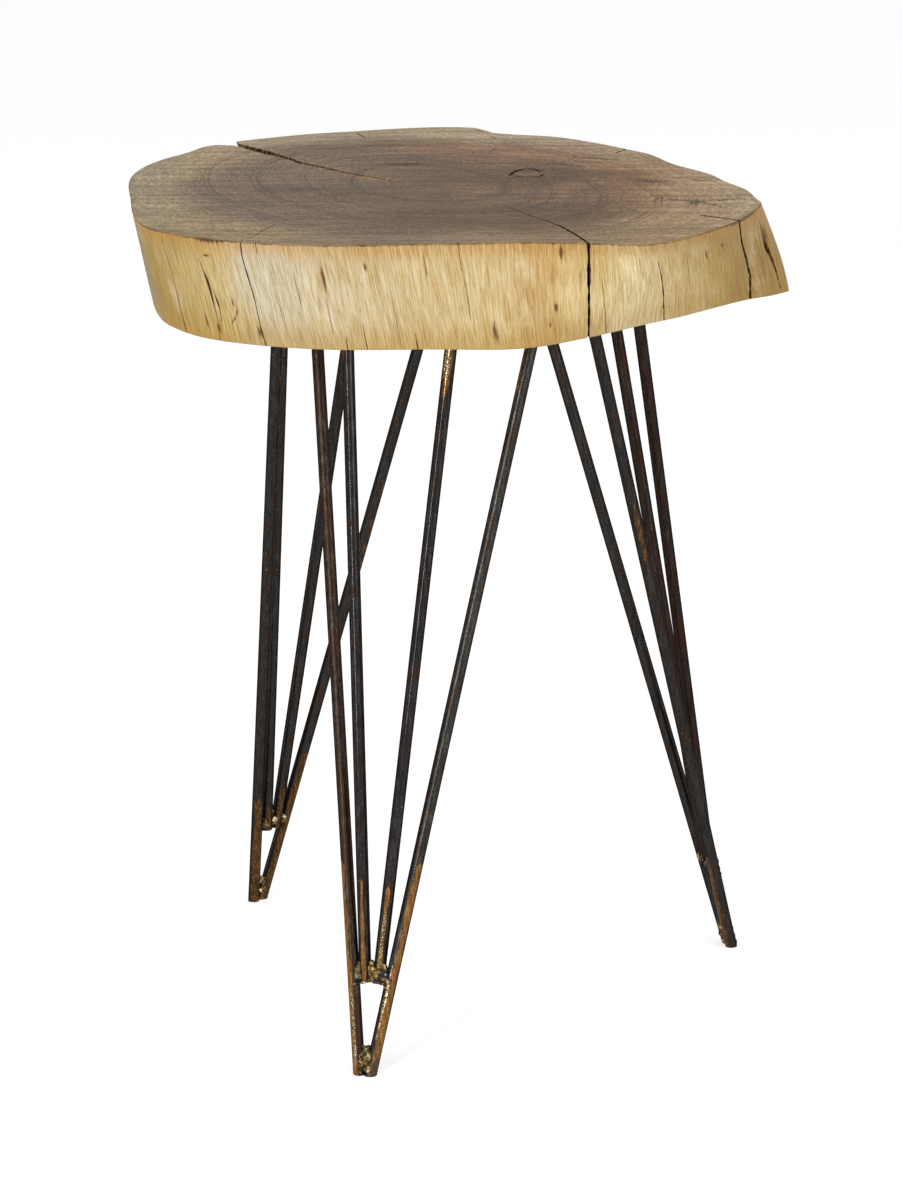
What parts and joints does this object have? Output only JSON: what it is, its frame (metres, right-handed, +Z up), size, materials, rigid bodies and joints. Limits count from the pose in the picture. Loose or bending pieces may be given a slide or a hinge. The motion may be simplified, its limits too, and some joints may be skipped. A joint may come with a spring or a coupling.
{
  "type": "side table",
  "caption": "Live-edge side table: a thick round slice of tree trunk, cracked by drying, on splayed hairpin-style legs of thin blackened steel rod.",
  "frame": {"origin": "on the floor, under the middle of the slab's bounding box", "axes": "+Z up; -Y towards the viewer of the picture, where the front leg stands; +X to the viewer's right"},
  "size_m": [0.469, 0.4524, 0.6],
  "materials": {
    "wood": "sawn end grain, dark grey-brown heartwood, pale barkless rim",
    "rod_steel": "blackened drawn rod with rust-coloured streaks",
    "weld_steel": "weld metal, straw and brown heat tint",
    "plate_steel": "blackened hot-rolled plate",
    "screw_zinc": "zinc-plated"
  },
  "bodies": {
    "root": {"slab": "wood", "right_leg_outer_rod_front": "rod_steel", "right_leg_outer_rod_rear": "rod_steel", "right_leg_inner_rod_front": "rod_steel", "right_leg_inner_rod_rear": "rod_steel", "right_leg_bridge_weld": "weld_steel", "right_leg_foot_weld": "weld_steel", "right_leg_top_welds": "weld_steel", "right_leg_mounting_plate": "plate_steel", "right_leg_screws": "screw_zinc", "left_leg_outer_rod_right": "rod_steel", "left_leg_outer_rod_left": "rod_steel", "left_leg_inner_rod_right": "rod_steel", "left_leg_inner_rod_left": "rod_steel", "left_leg_bridge_weld": "weld_steel", "left_leg_foot_weld": "weld_steel", "left_leg_top_welds": "weld_steel", "left_leg_mounting_plate": "plate_steel", "left_leg_screws": "screw_zinc", "front_leg_outer_rod_left": "rod_steel", "front_leg_outer_rod_right": "rod_steel", "front_leg_inner_rod_left": "rod_steel", "front_leg_inner_rod_right": "rod_steel", "front_leg_bridge_weld": "weld_steel", "front_leg_foot_weld": "weld_steel", "front_leg_top_welds": "weld_steel", "front_leg_mounting_plate": "plate_steel", "front_leg_screws": "screw_zinc"}
  },
  "joints": []
}
